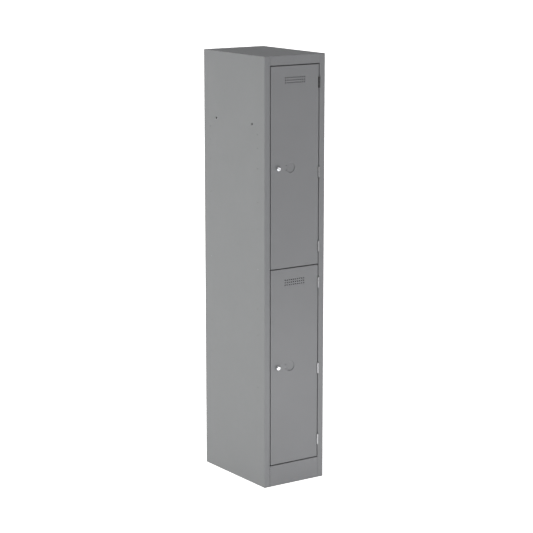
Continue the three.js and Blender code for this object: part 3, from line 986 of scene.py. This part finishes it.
def square_bar(name, at, half, start, end):
    return block(name, (at[0] - half, start, at[2] - half), (at[0] + half, end, at[2] + half))


def build_lock_plug(tier, at):
    low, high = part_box(f"{tier}_lock_plug")
    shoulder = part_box(f"{tier}_lock_cam")[0].y - FIT
    groove = zip(PLUG_GROOVE, (low.y, low.y + PLUG_GROOVE_DEPTH, low.y))
    outline = [(0, low.y), *groove, (PLUG_RADIUS, low.y), (PLUG_RADIUS, shoulder), (0, shoulder)]
    plug = turned(f"{tier}_lock_core", fillet(outline, PLUG_EDGE), at)
    boolean(plug, square_bar("tail", at, TAIL_HALF, shoulder - SHEET, high.y), "UNION")
    keyhole = (("keyway", KEYWAY_HALF, KEYWAY_REACH, KEYWAY_REACH),
               ("ward", WARD_HALF, WARD_BELOW, WARD_ABOVE))
    for name, half, below, above in keyhole:
        boolean(plug, block(name, (at[0] - half, low.y - SHEET, at[2] - below),
                            (at[0] + half, low.y + KEYWAY_DEPTH, at[2] + above)))
    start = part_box(f"{tier}_cam_screw")[0].y - FIT
    boolean(plug, rod("thread", THREAD_RADIUS, start, high.y + SHEET, at, 24))
    finished(plug, f"{tier}_lock_turn", CHROME, f"{tier}_lock_plug")


def build_lock_cam(tier, at):
    low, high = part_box(f"{tier}_lock_cam")
    cam = block(f"{tier}_lock_tongue", low, Vector((high.x, high.y, at[2])))
    boolean(cam, rod("hub", CAM_HUB, low.y, high.y, at), "UNION")
    boolean(cam, block("taper", (at[0] + CAM_TAPER[0], low.y - SHEET, low.z - SHEET),
                       (high.x + SHEET, high.y + SHEET, low.z + CAM_TAPER[1])))
    round_edges(cam, CAM_EDGE)
    boolean(cam, square_bar("square", at, CAM_SQUARE_HALF, low.y - SHEET, high.y + SHEET))
    finished(cam, f"{tier}_lock_turn", ZINC, f"{tier}_lock_cam")


def build_cam_screw(tier, at):
    low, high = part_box(f"{tier}_cam_screw")
    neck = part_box(f"{tier}_lock_cam")[1].y + FIT
    outline = fillet([
        (0, low.y), (SCREW_TIP, low.y), (SCREW_RADIUS, low.y + SCREW_TIP_HEIGHT),
        (SCREW_RADIUS, neck), (SCREW_HEAD, neck), (SCREW_HEAD, neck + SCREW_HEAD_HEIGHT),
        (SCREW_CROWN, high.y), (0, high.y),
    ], SCREW_EDGE)
    screw = turned(f"{tier}_cam_fixing", outline, at, "y", 32)
    for across, up in (SLOT_HALF, SLOT_HALF[::-1]):
        boolean(screw, block("slot", (at[0] - across, high.y - SLOT_DEPTH, at[2] - up),
                             (at[0] + across, high.y + SHEET, at[2] + up)))
    finished(screw, f"{tier}_lock_turn", SCREW_STEEL, f"{tier}_cam_screw")


def build_lock(tier):
    centre = box_and_centre(f"{tier}_lock_body")[2]
    at = (centre.x, 0, centre.z)
    for build in (build_lock_body, build_lock_nut, build_lock_plug, build_lock_cam,
                  build_cam_screw):
        build(tier, at)


# ------------------------------------------------------- small fittings
BUFFER_RADIUS = 4.5 * MM
BUFFER_CROWN = 4.0 * MM
BUFFER_NECK = 1.7 * MM
BUFFER_BARB = 2.6 * MM
BUFFER_TIP = 1.2 * MM
BUFFER_EDGE = 0.3 * MM
RIVET_RADIUS = 1.4 * MM
RIVET_SUNK = 0.05 * MM
RIVET_INSIDE = 2.6 * MM
RIVET_HEAD = 3.2 * MM
RIVET_CROWN = 2.9 * MM
RIVET_EDGE = 0.25 * MM
HOOK_ROD = 2.5 * MM
HOOK_PLATE = 1.5 * MM
HOOK_PLATE_HALF = 30 * MM
HOOK_PLATE_EDGE = 0.4 * MM
HOOK_START = 1.2 * MM
HOOK_DROP = 57 * MM
HOOK_REACH = 34 * MM
HOOK_RISE = 31 * MM
HOOK_STEPS = 28
# the knob at a hook's end: how far past the rod in mm, and its radius as a share of the rod's
HOOK_KNOB = ((0.6, 1.35), (1.5, 1.5), (2.4, 1.3), (3.1, 0.8), (3.4, 0.0))


def build_buffers(tier):
    stop = FRONT + STOP_DEPTH
    for end in ("bottom", "top"):
        low, high, centre = box_and_centre(f"{tier}_buffer_{end}")
        outline = fillet([
            (0, low.y), (BUFFER_CROWN, low.y), (BUFFER_RADIUS, low.y + 0.5 * MM),
            (BUFFER_RADIUS, stop - FIT), (BUFFER_NECK, stop - FIT),
            (BUFFER_NECK, stop + SHEET + FIT), (BUFFER_BARB, stop + SHEET + FIT),
            (BUFFER_TIP, high.y), (0, high.y),
        ], BUFFER_EDGE)
        pad = turned(f"{tier}_stop_pad_{end}", outline, (centre.x, 0, centre.z), "y", 32)
        finished(pad, "root", RUBBER, f"{tier}_buffer_{end}")


def build_rivets():
    outline = fillet([
        (0, RIVET_SUNK), (RIVET_RADIUS, RIVET_SUNK), (RIVET_RADIUS, RIVET_INSIDE),
        (RIVET_HEAD, RIVET_INSIDE), (RIVET_CROWN, RIVET_INSIDE + 0.8 * MM),
        (0, RIVET_INSIDE + 1.0 * MM),
    ], RIVET_EDGE)
    for side, wall, inward in (("left", LEFT, 1), ("right", RIGHT, -1)):
        for place in ("front", "rear"):
            centre = box_and_centre(f"shelf_rivet_{side}_{place}")[2]
            rivet = turned(f"blind_rivet_{side}_{place}",
                           [(radius, wall + inward * depth) for radius, depth in outline],
                           (0, centre.y, centre.z), "x", 24)
            finished(rivet, "root", ZINC, f"shelf_rivet_{side}_{place}")


def swept(name, path, radii, sides=20):
    """A round rod along a path in one XZ plane, closed by a point at each end."""
    verts = []
    rings = []
    across = Vector((0, 1, 0))
    for i, (point, radius) in enumerate(zip(path, radii)):
        along = (path[min(i + 1, len(path) - 1)] - path[max(i - 1, 0)]).normalized()
        up = along.cross(across).normalized()
        if radius <= 0:
            rings.append([len(verts)] * sides)
            verts.append(point)
            continue
        rings.append(list(range(len(verts), len(verts) + sides)))
        for k in range(sides):
            angle = 2 * math.pi * k / sides
            verts.append(point + (across * math.cos(angle) + up * math.sin(angle)) * radius)
    return mesh_object(name, verts, skin(zip(rings, rings[1:]), sides))


def hook_curve(side):
    """Points down one prong of the double hook and up to its end, from the plate's middle."""
    a, b, c, d = (Vector((side * x, 0, z)) for x, z in (
        (HOOK_ROD, -HOOK_START), (HOOK_ROD, -HOOK_DROP),
        (HOOK_REACH, -HOOK_DROP), (HOOK_REACH, HOOK_RISE - HOOK_DROP)))
    path = []
    for step in range(HOOK_STEPS + 1):
        t = step / HOOK_STEPS
        u = 1 - t
        path.append(a * u ** 3 + b * 3 * u * u * t + c * 3 * u * t * t + d * t ** 3)
    return path


def build_hooks(tier):
    low, high, centre = box_and_centre(f"{tier}_coat_hook")
    plate = block(f"{tier}_double_hook", (centre.x - HOOK_PLATE_HALF, low.y, high.z - HOOK_PLATE),
                  (centre.x + HOOK_PLATE_HALF, high.y, high.z))
    round_edges(plate, HOOK_PLATE_EDGE)
    shift = Vector((centre.x, centre.y, high.z))
    for side in (-1, 1):
        path = hook_curve(side)
        onward = (path[-1] - path[-2]).normalized()
        knob = [(path[-1] + onward * past * MM, HOOK_ROD * share) for past, share in HOOK_KNOB]
        points = [path[0]] + path + [point for point, _ in knob]
        radii = [0] + [HOOK_ROD] * len(path) + [radius for _, radius in knob]
        boolean(plate, swept("prong", [p + shift for p in points], radii), "UNION")
    finished(plate, "root", ZINC, f"{tier}_coat_hook")


def build_floor():
    """A plain pale floor that glows evenly, and is dark where the cabinet hides it."""
    corners = [(-1, -1), (1, -1), (1, 1), (-1, 1)]
    floor = mesh_object("studio_floor", [(x * FLOOR_REACH, y * FLOOR_REACH, 0) for x, y in corners],
                        [(0, 1, 2, 3)])
    f = Finish("studio_floor")
    tint = f.mix(f.noise(f.place(), 1.5, 2.0), *FLOOR_SHADES)
    across, along = f.along("X"), f.along("Y")
    outside = (across.size() / FLOOR_DARK[0]).larger(along.size() / FLOOR_DARK[1])
    lit = ((outside - 1.0) * FLOOR_DARK_EDGE).clamp()
    f.surface(Base_Color=tint, Roughness=0.9, Specular_IOR_Level=0.1,
              Emission_Strength=FLOOR_GLOW, Emission_Color=f.mix(lit, BLACK, WHITE))
    floor.data.materials.append(f.material)


build_camera()
build_light()
build_floor()
build_sides()
build_top()
build_plinth()
build_back()
build_shelves()
build_rivets()
for tier in TIERS:
    build_door(tier)
    for place in HINGES:
        build_hinge(tier, place)
    build_lock(tier)
    build_buffers(tier)
    build_hooks(tier)
